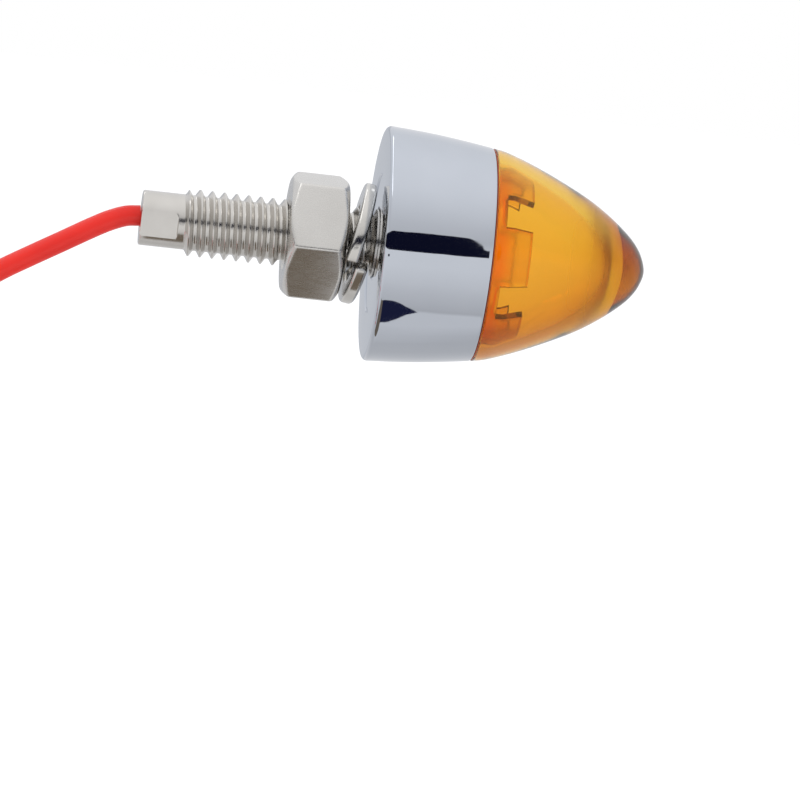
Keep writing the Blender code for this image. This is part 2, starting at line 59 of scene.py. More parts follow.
LENS_BASE_X = 12.72
LENS_TIP_X = 31.84
LENS_OUTER = ((12.72, 12.44), (13.9, 12.25), (16.0, 11.58), (18.8, 10.48),
              (21.6, 9.22), (24.4, 7.82), (26.6, 6.44), (28.6, 4.94),
              (30.3, 3.35), (31.3, 1.86))
LENS_INNER = ((12.72, 10.95), (14.6, 10.62), (17.4, 9.58), (20.0, 8.36),
              (22.4, 7.04), (24.4, 5.66), (26.0, 4.12), (27.1, 2.44))
LENS_CAVITY_TIP_X = 27.7
SKIRT_REAR_X = 10.9
SKIRT_R = 11.62
SKIRT_INNER_R = 10.62

RETAINER_REAR_X = 9.9
RETAINER_WALL = 0.85
RETAINER_GAP_X = 13.9
RETAINER_TOOTH_X = 17.05
RETAINER_TEETH = 6
RETAINER_TOOTH_DEG = 38.0
RETAINER_TURN_DEG = 177.0

PITCH = 25.4 / 18
STUD_END_X = -27.34
STUD_BORE_R = 1.6
STUD_CREST_R = 3.90
STUD_ROOT_R = 3.20
THREAD_START_X = -22.45
THREAD_STOP_X = -0.40
THREAD_FADE = 0.55
NECK_R = 3.95
FLANGE_R = 5.6
FLANGE_X = (3.1, 4.1)
FLAT_DEPTH_R = 2.82
FLAT_LENGTH = 4.35
FLAT_TURN_DEG = 190.0
CREST = 0.125
FLANK = 0.3125
ROOT = 0.25

NUT_X = (-10.40, -3.65)
NUT_ACROSS_FLATS = 13.5
NUT_CORNER_DEG = 7.5
NUT_FACE_R = 6.38
NUT_CHAMFER_DEG = 30.0
NUT_MAJOR_R = 4.06
NUT_MINOR_R = 3.36
NUT_SINK_R = 4.35

WASHER_INNER_R = 4.50
WASHER_OUTER_R = 7.10
WASHER_THICK = 1.45
WASHER_LIFT = 1.30
WASHER_GAP_DEG = 2.6
WASHER_SPLIT_DEG = 199.0
WASHER_CANT_DEG = 9.2
WASHER_X = -1.92
WASHER_DROP = -0.25

BOARD_X = (6.6, 7.6)
REFLECTOR_X = (7.9, 12.9)
LED_SIZE = (1.4, 2.8, 3.4)
LED_RING_R = 2.75

LEAD_R = 1.2
CORE_R = 0.42
LEAD_ROUTE = ((-27.34, 0.0, 0.18), (-28.95, 0.0, -0.03), (-30.7, 0.0, -0.70),
              (-32.5, 0.0, -1.66), (-36.0, 0.0, -3.76), (-39.55, 0.0, -5.88),
              (-42.8, 0.0, -7.90), (-45.9, -0.3, -10.2), (-48.6, -1.1, -13.1),
              (-50.4, -2.7, -16.4), (-51.1, -4.6, -20.0), (-51.2, -6.0, -23.8))
HANK_X = -51.2
HANK_STEP = -2.6
HANK_TURNS = 3
HANK_BEND_R = 7.2
HANK_PINCH = 3.5
HANK_TOP_Z = -31.4
HANK_BOTTOM_Z = -60.2
TAIL_END_Z = -72.0
TIP_END_Z = -78.0
TOUCH = 0.3

SEAM_WIDTH = 0.12

FLOOR_Z = -0.100                # the floor lies well under the hanging lead


# ------------------------------------------------------------- mesh helpers
def finish_mesh(name, bm, material, sharp_deg=30.0):
    """A bmesh in millimetres becomes a closed object in metres."""
    bmesh.ops.remove_doubles(bm, verts=bm.verts, dist=1e-4)
    loose = [v for v in bm.verts if not v.link_faces]
    bmesh.ops.delete(bm, geom=loose, context="VERTS")
    bmesh.ops.recalc_face_normals(bm, faces=bm.faces)
    bmesh.ops.scale(bm, vec=(MM, MM, MM), verts=bm.verts)
    mesh = bpy.data.meshes.new(name)
    bm.to_mesh(mesh)
    bm.free()
    mesh.shade_smooth()
    mesh.set_sharp_from_angle(angle=math.radians(sharp_deg))
    obj = bpy.data.objects.new(name, mesh)
    bpy.context.scene.collection.objects.link(obj)
    mesh.materials.append(material)
    return obj


def on_circle(x, r, angle):
    return Vector((x, r * math.cos(angle), r * math.sin(angle)))


def even_angles(count, turn_deg=0.0):
    return [math.radians(turn_deg) + 2 * math.pi * j / count for j in range(count)]


def add_ring(bm, x, r, angles):
    if r == 0:
        return [bm.verts.new((x, 0, 0))]
    return [bm.verts.new(on_circle(x, r, a)) for a in angles]


def join_rings(bm, a, b):
    n = max(len(a), len(b))
    for j in range(n):
        k = (j + 1) % n
        if len(a) == 1:
            bm.faces.new((a[0], b[k], b[j]))
        elif len(b) == 1:
            bm.faces.new((a[j], a[k], b[0]))
        else:
            bm.faces.new((a[j], a[k], b[k], b[j]))


def join_all(bm, rings, closed=False):
    for a, b in zip(rings, rings[1:]):
        join_rings(bm, a, b)
    if closed:
        join_rings(bm, rings[-1], rings[0])


def turned(name, profile, material, sides, sharp_deg=30.0):
    """A solid of revolution about X from (x, r) points."""
    bm = bmesh.new()
    rings = [add_ring(bm, x, r, even_angles(sides)) for x, r in profile]
    join_all(bm, rings, profile[0][1] != 0 or profile[-1][1] != 0)
    return finish_mesh(name, bm, material, sharp_deg)


def smooth_through(points, steps):
    """A centripetal Catmull-Rom curve through points, steps pieces a span."""
    pts = [Vector(p) for p in points]
    pts = [2 * pts[0] - pts[1]] + pts + [2 * pts[-1] - pts[-2]]
    out = []
    for p0, p1, p2, p3 in zip(pts, pts[1:], pts[2:], pts[3:]):
        t0 = 0.0
        t1 = t0 + (p1 - p0).length ** 0.5
        t2 = t1 + (p2 - p1).length ** 0.5
        t3 = t2 + (p3 - p2).length ** 0.5
        for i in range(steps):
            t = t1 + (t2 - t1) * i / steps
            a1 = p0 * ((t1 - t) / (t1 - t0)) + p1 * ((t - t0) / (t1 - t0))
            a2 = p1 * ((t2 - t) / (t2 - t1)) + p2 * ((t - t1) / (t2 - t1))
            a3 = p2 * ((t3 - t) / (t3 - t2)) + p3 * ((t - t2) / (t3 - t2))
            b1 = a1 * ((t2 - t) / (t2 - t0)) + a2 * ((t - t0) / (t2 - t0))
            b2 = a2 * ((t3 - t) / (t3 - t1)) + a3 * ((t - t1) / (t3 - t1))
            out.append(b1 * ((t2 - t) / (t2 - t1)) + b2 * ((t - t1) / (t2 - t1)))
    return out + [pts[-2]]


def dome_through(stations, tip_x, steps):
    """A meridian through (x, r) stations that meets the axis square on."""
    mirror = [(x, -r) for x, r in reversed(stations[-2:])]
    whole = smooth_through([*stations, (tip_x, 0.0), *mirror], steps)
    upto = len(stations) * steps
    return [(p.x, p.y) for p in whole[:upto]] + [(tip_x, 0)]


def radius_at(meridian, x):
    for (xa, ra), (xb, rb) in zip(meridian, meridian[1:]):
        if xa - 1e-4 <= x <= xb + 1e-4:
            return ra + (rb - ra) * (x - xa) / (xb - xa)
    raise ValueError(x)


def fillet(cx, cr, radius, start_deg, stop_deg, steps):
    angles = [math.radians(start_deg + (stop_deg - start_deg) * i / steps)
              for i in range(steps + 1)]
    return [(cx + radius * math.cos(a), cr + radius * math.sin(a)) for a in angles]


def soften(profile, radius, steps=4, closed=False, least_deg=25.0):
    """Rounds the corners of an (x, r) polyline, short sides allowing."""
    n = len(profile)
    out = []
    for i, p in enumerate(profile):
        p = Vector(p)
        if not closed and i in (0, n - 1):
            out.append(tuple(p))
            continue
        a, b = Vector(profile[i - 1]) - p, Vector(profile[(i + 1) % n]) - p
        if a.length < 1e-6 or b.length < 1e-6:
            out.append(tuple(p))
            continue
        bend = 180.0 - math.degrees(a.angle(b))
        if bend < least_deg:
            out.append(tuple(p))
            continue
        reach = min(radius, a.length * 0.45, b.length * 0.45)
        start, stop = p + a.normalized() * reach, p + b.normalized() * reach
        for s in range(steps + 1):
            t = s / steps
            q = start * (1 - t) ** 2 + p * (2 * t * (1 - t)) + stop * t ** 2
            out.append(tuple(q))
    return out


def thread_profile(crest_r, root_r):
    """(fraction of a pitch, radius) down one flank and up the next, with the
    crest's corners and the root eased."""
    depth = crest_r - root_r
    top, down, low = CREST, CREST + FLANK, CREST + FLANK + ROOT
    ease = 0.022
    return [
        (0.0, crest_r - depth * 0.028), (ease, crest_r), (top - ease, crest_r),
        (top, crest_r - depth * 0.028), (top + ease, crest_r - depth * 0.082),
        (down - 0.045, root_r + depth * 0.15), (down - 0.01, root_r + depth * 0.058),
        (down + 0.04, root_r + depth * 0.012), (down + ROOT / 2, root_r),
        (low - 0.04, root_r + depth * 0.012), (low + 0.01, root_r + depth * 0.058),
        (low + 0.045, root_r + depth * 0.15), (1.0 - ease, crest_r - depth * 0.082),
    ]


def add_helix_skin(bm, x0, x1, crest_r, root_r, plain_r, fade, angles):
    """A right-hand 60 degree thread between x0 and x1, as rows that follow the
    helix and fade to plain_r at both ends. Stud and nut share its phase."""
    marks = thread_profile(crest_r, root_r)
    per = len(marks)
    n = len(angles)
    rows = []
    for k in range(math.floor(x0 / PITCH) - 2, math.ceil(x1 / PITCH) + 2):
        for mark, target in marks:
            row = []
            for angle in angles:
                x = (k + mark + angle / (2 * math.pi)) * PITCH
                x = min(max(x, x0), x1)
                share = min(1.0, (x - x0) / fade, (x1 - x) / fade)
                share = share * share * (3 - 2 * share)
                r = plain_r + (target - plain_r) * share
                row.append(bm.verts.new(on_circle(x, r, angle)))
            rows.append(row)
    for i in range(len(rows) - per - 1):
        for j in range(n):
            if j < n - 1:
                a, b = rows[i][j + 1], rows[i + 1][j + 1]
            else:
                a, b = rows[i + per][0], rows[i + per + 1][0]
            bm.faces.new((rows[i][j], a, b, rows[i + 1][j]))


def add_tube(bm, points, radius, sides, taper=None, cap=True):
    """A round tube through points, with a frame carried along without twist."""
    pts = [Vector(p) for p in points]
    rings = []
    normal = None
    for i, p in enumerate(pts):
        way = (pts[min(i + 1, len(pts) - 1)] - pts[max(i - 1, 0)]).normalized()
        if normal is None:
            normal = way.orthogonal().normalized()
        else:
            normal = (normal - way * normal.dot(way)).normalized()
        side = way.cross(normal)
        r = radius * (taper(i / (len(pts) - 1)) if taper else 1.0)
        rings.append([bm.verts.new(p + normal * (r * math.cos(a)) + side * (r * math.sin(a)))
                      for a in even_angles(sides)])
    join_all(bm, rings)
    if cap:
        bm.faces.new(rings[0][::-1])
        bm.faces.new(rings[-1])
    return rings


def add_block(bm, size, centre, bevel, segments=3, turn=None):
    made = bmesh.ops.create_cube(bm, size=1.0)
    verts = made["verts"]
    bmesh.ops.scale(bm, vec=size, verts=verts)
    edges = list({e for v in verts for e in v.link_edges})
    out = bmesh.ops.bevel(bm, geom=edges, offset=bevel, segments=segments,
                          profile=0.5, affect="EDGES", clamp_overlap=True)
    verts = list({v for f in out["faces"] for v in f.verts} | {v for v in verts if v.is_valid})
    if turn is not None:
        bmesh.ops.rotate(bm, matrix=turn, verts=verts)
    bmesh.ops.translate(bm, vec=centre, verts=verts)
    return verts


# --------------------------------------------------------- material helpers
class Nodes:
    """A small wrapper that adds and links shader nodes."""

    def __init__(self, name):
        self.material = bpy.data.materials.new(name)
        self.material.use_nodes = True
        self.tree = self.material.node_tree
        self.shader = self.tree.nodes["Principled BSDF"]
        self.output = self.tree.nodes["Material Output"]
        self._object = None

    def add(self, kind, **settings):
        node = self.tree.nodes.new(kind)
        for key, value in settings.items():
            setattr(node, key, value)
        return node

    def link(self, a, b):
        self.tree.links.new(a, b)

    def set(self, **values):
        for key, value in values.items():
            self.shader.inputs[key.replace("_", " ")].default_value = value

    @property
    def place(self):
        """Position in the row frame, in metres."""
        if self._object is None:
            self._object = self.add("ShaderNodeTexCoord").outputs["Object"]
        return self._object

    def stretched(self, scale, turn=(0, 0, 0)):
        node = self.add("ShaderNodeMapping")
        node.inputs["Scale"].default_value = scale
        node.inputs["Rotation"].default_value = turn
        self.link(self.place, node.inputs["Vector"])
        return node.outputs["Vector"]

    def noise(self, scale, detail=3.0, rough=0.5, vector=None):
        node = self.add("ShaderNodeTexNoise")
        node.inputs["Scale"].default_value = scale
        node.inputs["Detail"].default_value = detail
        node.inputs["Roughness"].default_value = rough
        self.link(vector if vector is not None else self.place, node.inputs["Vector"])
        return node.outputs["Fac"]

    def between(self, value, low, high, to_low, to_high):
        node = self.add("ShaderNodeMapRange")
        for key, v in (("From Min", low), ("From Max", high),
                       ("To Min", to_low), ("To Max", to_high)):
            node.inputs[key].default_value = v
        self.link(value, node.inputs["Value"])
        return node.outputs["Result"]

    def mix(self, factor, a, b):
        node = self.add("ShaderNodeMix", data_type="RGBA")
        if isinstance(factor, float):
            node.inputs[0].default_value = factor
        else:
            self.link(factor, node.inputs[0])
        for socket, value in ((node.inputs[6], a), (node.inputs[7], b)):
            if isinstance(value, tuple):
                socket.default_value = (*value, 1.0)
            else:
                self.link(value, socket)
        return node.outputs[2]

    def maths(self, operation, a, b=None):
        node = self.add("ShaderNodeMath", operation=operation)
        for socket, value in zip(node.inputs, (a, b)):
            if value is None:
                continue
            if isinstance(value, (int, float)):
                socket.default_value = value
            else:
                self.link(value, socket)
        return node.outputs[0]

    def bump(self, height, distance, strength=1.0):
        node = self.add("ShaderNodeBump")
        node.inputs["Strength"].default_value = strength
        node.inputs["Distance"].default_value = distance
        self.link(height, node.inputs["Height"])
        self.link(node.outputs["Normal"], self.shader.inputs["Normal"])
        return node

    def roughness(self, value):
        self.link(value, self.shader.inputs["Roughness"])

    def colour(self, value):
        self.link(value, self.shader.inputs["Base Color"])


def metal(name, colour, shade, rough, scale, bump=0.0, stretch=None, detail=4.0):
    """Metal whose colour, shine and surface vary with the same fine grain."""
    m = Nodes(name)
    m.set(Metallic=1.0)
    vector = m.stretched(stretch) if stretch else None
    grain = m.noise(scale, detail, 0.6, vector)
    cloud = m.noise(scale * 0.07 if not stretch else 220.0, 2.0)
    m.colour(m.mix(m.between(cloud, 0.3, 0.7, 0.0, 1.0), colour, shade))
    m.roughness(m.between(grain, 0.25, 0.75, *rough))
    if bump:
        m.bump(grain, bump)
    return m


def plastic(name, colour, shade, rough, scale=900.0, bump=0.0, detail=3.0):
    m = Nodes(name)
    grain = m.noise(scale, detail)
    cloud = m.noise(scale * 0.12, 2.0)
    m.colour(m.mix(m.between(cloud, 0.3, 0.7, 0.0, 1.0), colour, shade))
    m.roughness(m.between(grain, 0.25, 0.75, *rough))
    if bump:
        m.bump(grain, bump)
    return m


def chrome_plate():
    m = metal("chrome_plate", (0.530, 0.560, 0.615), (0.515, 0.545, 0.600),
              (0.025, 0.05), 2600.0, 1.2e-7)
    return m.material


def turned_steel():
    """Stainless stud: fine turning marks that run round the axis."""
    m = metal("turned_steel", (0.640, 0.620, 0.590), (0.575, 0.555, 0.525),
              (0.16, 0.27), 1.0, 1.5e-6, stretch=(9000.0, 350.0, 350.0), detail=5.0)
    return m.material


def nut_steel():
    """Satin nut: a fine even grain with only a trace of drawing marks."""
    m = Nodes("nut_steel")
    m.set(Metallic=1.0)
    marks = m.noise(1.0, 3.0, 0.5, m.stretched((700.0, 3600.0, 3600.0)))
    grain = m.noise(2600.0, 3.0)
    cloud = m.noise(260.0, 2.0)
    m.colour(m.mix(m.between(cloud, 0.3, 0.7, 0.0, 1.0),
                   (0.655, 0.640, 0.615), (0.615, 0.600, 0.575)))
    m.roughness(m.between(marks, 0.25, 0.75, 0.24, 0.31))
    m.bump(grain, 4.0e-7)
    return m.material


def washer_steel():
    m = metal("washer_steel", (0.660, 0.645, 0.620), (0.560, 0.540, 0.505),
              (0.10, 0.22), 1500.0, 1.2e-6)
    return m.material


def amber_acrylic(name, haze, tint, deep=1.0):
    """Amber acrylic: part of its colour in the surface, part in the depth."""
    m = Nodes(name)
    m.set(Base_Color=(*tint, 1.0), Transmission_Weight=1.0, IOR=1.49,
          Specular_Tint=(1.0, 0.72, 0.42, 1.0))
    # the moulding core leaves a soft matt patch inside the nose
    split = m.add("ShaderNodeSeparateXYZ")
    m.link(m.place, split.inputs[0])
    away = m.maths("SQRT", m.maths("ADD",
                                   m.maths("POWER", split.outputs[1], 2.0),
                                   m.maths("POWER", split.outputs[2], 2.0)))
    within = m.between(m.maths("ADD", split.outputs[0], away), 0.03010, 0.03040, 1.0, 0.0)
    patch = m.maths("MULTIPLY", within, m.between(split.outputs[0], 0.0225, 0.0250, 0.0, 1.0))
    even = m.between(m.noise(420.0, 3.0), 0.3, 0.7, haze * 0.6, haze * 1.4)
    m.roughness(m.maths("ADD", even, m.maths("MULTIPLY", patch, 0.35)))
    m.bump(m.noise(260.0, 1.0), 2.0e-6)
    inside = m.add("ShaderNodeVolumeAbsorption")
    inside.inputs["Color"].default_value = (0.966, 0.899, 0.50, 1.0)
    inside.inputs["Density"].default_value = 1000.0 * deep
    m.link(inside.outputs["Volume"], m.output.inputs["Volume"])
    return m.material


def amber_ring():
    """The retainer's acrylic, with painted shade: its closed ring, down by the housing, is coloured
    deeper than the teeth.
    """
    m = Nodes("amber_retainer")
    m.set(Transmission_Weight=1.0, IOR=1.49, Specular_Tint=(1.0, 0.72, 0.42, 1.0))
    split = m.add("ShaderNodeSeparateXYZ")
    m.link(m.place, split.inputs[0])
    # painted shade: the closed ring by the housing gets a deeper amber than the teeth
    ring_shade_mask = m.between(split.outputs[0], 0.0136, 0.0145, 0.0, 1.0)
    m.colour(m.mix(ring_shade_mask, (1.0, 0.56, 0.20), (1.0, 0.80, 0.46)))
    m.roughness(m.between(m.noise(420.0, 3.0), 0.3, 0.7, 0.10, 0.20))
    m.bump(m.noise(260.0, 1.0), 2.0e-6)
    inside = m.add("ShaderNodeVolumeAbsorption")
    inside.inputs["Color"].default_value = (0.995, 0.925, 0.60, 1.0)
    inside.inputs["Density"].default_value = 1000.0
    m.link(inside.outputs["Volume"], m.output.inputs["Volume"])
    return m.material


def red_pvc():
    m = Nodes("red_pvc")
    fine = m.noise(5200.0, 3.0)
    cloud = m.noise(160.0, 2.0)
    m.colour(m.mix(m.between(cloud, 0.3, 0.7, 0.0, 1.0),
                   (0.640, 0.019, 0.012), (0.580, 0.015, 0.010)))
    m.roughness(m.between(m.noise(700.0, 4.0), 0.25, 0.75, 0.30, 0.44))
    m.set(Subsurface_Weight=0.15, Subsurface_Scale=0.0006, Specular_IOR_Level=0.3)
    m.shader.inputs["Subsurface Radius"].default_value = (1.0, 0.25, 0.15)
    m.bump(fine, 3.0e-6)
    return m.material


def rubber():
    m = plastic("black_rubber", (0.020, 0.020, 0.021), (0.030, 0.029, 0.028),
                (0.55, 0.75), 2400.0, 6.0e-6)
    return m.material


def board_laminate():
    """White-masked glass laminate with ring-shaped copper under the mask."""
    m = Nodes("board_laminate")
    split = m.add("ShaderNodeSeparateXYZ")
    m.link(m.place, split.inputs[0])
    away = m.maths("SQRT", m.maths("ADD",
                                   m.maths("POWER", split.outputs[1], 2.0),
                                   m.maths("POWER", split.outputs[2], 2.0)))
    wave = m.maths("SINE", m.maths("MULTIPLY", away, 3600.0))
    track = m.between(wave, 0.55, 0.75, 0.0, 1.0)
    cloth = m.noise(5200.0, 2.0)
    base = m.mix(m.between(cloth, 0.35, 0.65, 0.0, 1.0),
                 (0.760, 0.765, 0.740), (0.700, 0.705, 0.680))
    m.colour(m.mix(track, base, (0.640, 0.660, 0.600)))
    m.roughness(m.between(cloth, 0.3, 0.7, 0.32, 0.48))
    m.bump(track, 2.0e-5)
    return m.material


def led_package():
    m = plastic("led_package", (0.860, 0.850, 0.800), (0.800, 0.785, 0.730),
                (0.28, 0.42), 2600.0, 1.0e-6)
    return m.material


def led_phosphor():
    m = plastic("led_phosphor", (0.920, 0.720, 0.110), (0.840, 0.620, 0.070),
                (0.20, 0.30), 3200.0, 2.0e-6)
    return m.material


MATS = {
    "chrome": chrome_plate(),
    "stud": turned_steel(),
    "nut": nut_steel(),
    "washer": washer_steel(),
    "amber": amber_acrylic("amber_acrylic", 0.02, (1.0, 0.785, 0.34)),
    "retainer": amber_ring(),
    "sealer": plastic("amber_sealer", (0.46, 0.085, 0.018), (0.38, 0.065, 0.014),
                      (0.30, 0.42), 1400.0, 1.5e-6).material,
    "pvc": red_pvc(),
    "rubber": rubber(),
    "board": board_laminate(),
    "led": led_package(),
    "phosphor": led_phosphor(),
    "nylon": plastic("white_nylon", (0.80, 0.79, 0.75), (0.74, 0.73, 0.69),
                     (0.38, 0.52), 1500.0, 2.0e-6).material,
    "tie": plastic("tie_nylon", (0.022, 0.022, 0.023), (0.034, 0.034, 0.035),
                   (0.32, 0.46), 1300.0, 3.0e-6).material,
    "chip": plastic("chip_body", (0.030, 0.030, 0.032), (0.045, 0.044, 0.044),
                    (0.30, 0.46), 4200.0, 2.0e-6).material,
    "mirror": metal("bright_reflector", (0.86, 0.86, 0.87), (0.82, 0.82, 0.83),
                    (0.07, 0.14), 1800.0, 1.0e-6).material,
    "solder": metal("solder", (0.62, 0.63, 0.65), (0.50, 0.51, 0.54),
                    (0.18, 0.36), 2600.0, 4.0e-6).material,
    "copper": metal("bare_copper", (0.80, 0.43, 0.27), (0.66, 0.33, 0.20),
                    (0.20, 0.34), 3200.0, 2.0e-6).material,
    "tinned": metal("tinned_copper", (0.70, 0.68, 0.64), (0.58, 0.55, 0.50),
                    (0.20, 0.36), 3200.0, 2.0e-6).material,
    "spring": metal("spring_wire", (0.62, 0.57, 0.45), (0.50, 0.45, 0.34),
                    (0.20, 0.34), 3600.0, 2.0e-6).material,
}

# CAD nodes that stay as they are take a finished material here
CARRIED = {
    "o_ring": "rubber", "inner_grommet": "rubber", "wire_sleeve": "rubber",
    "circuit_board": "board", "board_spacer": "nylon", "resistor_1": "chip",
    "resistor_2": "chip", "diode": "chip", "solder_joint": "solder",
    "ground_spring": "spring", "lead_core": "copper", "lead_inner": "pvc",
}
for node, key in CARRIED.items():
    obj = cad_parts[node]
    obj.data.materials.clear()
    obj.data.materials.append(MATS[key])


# ------------------------------------------------------------------ housing
def housing_profile():
    outer = smooth_through(HOUSING_STATIONS, 12)
    edge = outer[-1]
    profile = [(SEAT_RELIEF + 0.25, SEAT_HOLE_R), (SEAT_RELIEF, SEAT_HOLE_R + 0.25),
               (SEAT_RELIEF, SEAT_CLEAR_R), (0, SEAT_CLEAR_R + SEAT_RELIEF)]
    profile += fillet(RIM_FILLET, RIM_R - RIM_FILLET, RIM_FILLET, 180, 90, 12)
    profile += [(p.x, p.y) for p in outer[1:-1]]
    profile += fillet(HOUSING_LENGTH - FRONT_FILLET, edge.y - FRONT_FILLET - 0.023,
                      FRONT_FILLET, 81.4, 0, 10)
    profile += [(HOUSING_LENGTH, LENS_SEAT_R + 0.12), (HOUSING_LENGTH - 0.12, LENS_SEAT_R),
                (LENS_SEAT_X, LENS_SEAT_R), (LENS_SEAT_X, CAVITY_R),
                (BACK_WALL + 0.5, CAVITY_R), (BACK_WALL, CAVITY_R - 0.5),
                (BACK_WALL, SEAT_HOLE_R)]
    return profile


housing = turned("housing_shell", housing_profile(), MATS["chrome"], 256, 24)
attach(housing, "root")
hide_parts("housing")


# --------------------------------------------------------------------- lens
def lens_profile():
    outer = dome_through(LENS_OUTER, LENS_TIP_X, 10)
    inner = dome_through(LENS_INNER, LENS_CAVITY_TIP_X, 10)
    base_r = outer[0][1]
    eased = [p for p in outer if p[0] > LENS_BASE_X + 0.14]
    base = HOUSING_LENGTH + SEAM_WIDTH
    corner = [(base + 0.09, base_r + 0.01), (base + 0.03, base_r - 0.005),
              (base + 0.008, base_r - 0.025), (base, base_r - 0.06)]
    return (eased[::-1] + corner
            + [(base, SKIRT_R), (SKIRT_REAR_X + 0.1, SKIRT_R),
               (SKIRT_REAR_X, SKIRT_R - 0.1), (SKIRT_REAR_X, SKIRT_INNER_R + 0.1),
               (SKIRT_REAR_X + 0.1, SKIRT_INNER_R), (LENS_BASE_X - 0.35, SKIRT_INNER_R)]
            + inner)


lens = turned("amber_lens", lens_profile(), MATS["amber"], 256, 28)
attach(lens, "root")
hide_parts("lens")


def build_seam():
    """The bead of cured sealer that shows as a line between lens and housing."""
    lens_base = HOUSING_LENGTH + SEAM_WIDTH
    profile = [(HOUSING_LENGTH + 0.004, SKIRT_R + 0.02), (HOUSING_LENGTH + 0.004, 12.30),
               (HOUSING_LENGTH + 0.03, 12.375), (lens_base - 0.03, 12.385),
               (lens_base - 0.004, 12.33), (lens_base - 0.004, SKIRT_R + 0.02)]
    return turned("seam_bead", profile, MATS["sealer"], 256, 24)


seam = build_seam()
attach(seam, "root")


# ------------------------------------------------------------ lens retainer
def build_retainer():
    inner = dome_through(LENS_INNER, LENS_CAVITY_TIP_X, 1)
    stations = [RETAINER_REAR_X, 11.1, 12.3, 13.1, RETAINER_GAP_X, 14.75, 15.6,
                16.45, RETAINER_TOOTH_X]
    gap_index = stations.index(RETAINER_GAP_X)
    outer_r = [min(10.38, radius_at(inner, max(x, LENS_BASE_X)) - 0.22)
               for x in stations]
    pitch = 360.0 / RETAINER_TEETH
    half = RETAINER_TOOTH_DEG / 2
    columns = []
    for tooth in range(RETAINER_TEETH):
        middle = RETAINER_TURN_DEG + tooth * pitch
        for part in range(13):
            columns.append((middle - half + RETAINER_TOOTH_DEG * part / 12, part < 12))
        rest = pitch - RETAINER_TOOTH_DEG
        for part in range(1, 8):
            columns.append((middle + half + rest * part / 8, False))
    bm = bmesh.new()
    grid = []
    for degrees, _ in columns:
        a = math.radians(degrees)
        grid.append([(bm.verts.new(on_circle(x, r, a)),
                      bm.verts.new(on_circle(x, r - RETAINER_WALL, a)))
                     for x, r in zip(stations, outer_r)])
    n = len(columns)
    for c in range(n):
        here, after, tall = grid[c], grid[(c + 1) % n], columns[c][1]
        before_tall = columns[c - 1][1]
        top = len(stations) - 1 if tall else gap_index
        for s in range(top):
            for side in (0, 1):
                bm.faces.new((here[s][side], after[s][side],
                              after[s + 1][side], here[s + 1][side]))
        bm.faces.new((here[0][0], here[0][1], after[0][1], after[0][0]))
        bm.faces.new((here[top][0], here[top][1], after[top][1], after[top][0]))
        if tall != before_tall:
            for s in range(gap_index, len(stations) - 1):
                bm.faces.new((here[s][0], here[s][1],
                              here[s + 1][1], here[s + 1][0]))
    loose = [v for v in bm.verts if not v.link_faces]
    bmesh.ops.delete(bm, geom=loose, context="VERTS")
    bmesh.ops.recalc_face_normals(bm, faces=bm.faces)
    crisp = [e for e in bm.edges
             if len(e.link_faces) == 2 and e.calc_face_angle() > math.radians(40)]
    bmesh.ops.bevel(bm, geom=crisp, offset=0.10, segments=2, profile=0.5,
                    affect="EDGES", clamp_overlap=True)
    return finish_mesh("castle_ring", bm, MATS["retainer"], 35)


retainer = build_retainer()
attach(retainer, "root")
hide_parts("lens_retainer")


# --------------------------------------------------------------------- stud
def stud_angles():
    """96 columns, moved a little so that the flats' edges lie on columns."""
    half = math.degrees(math.acos(FLAT_DEPTH_R / STUD_ROOT_R))
    angles = [360.0 * j / 96 for j in range(96)]
    for centre in (FLAT_TURN_DEG % 360, (FLAT_TURN_DEG + 180) % 360):
        for edge in (centre - half, centre + half):
            nearest = min(range(96), key=lambda j: abs(angles[j] - edge % 360))
            angles[nearest] = edge % 360
    return [math.radians(a) for a in angles]


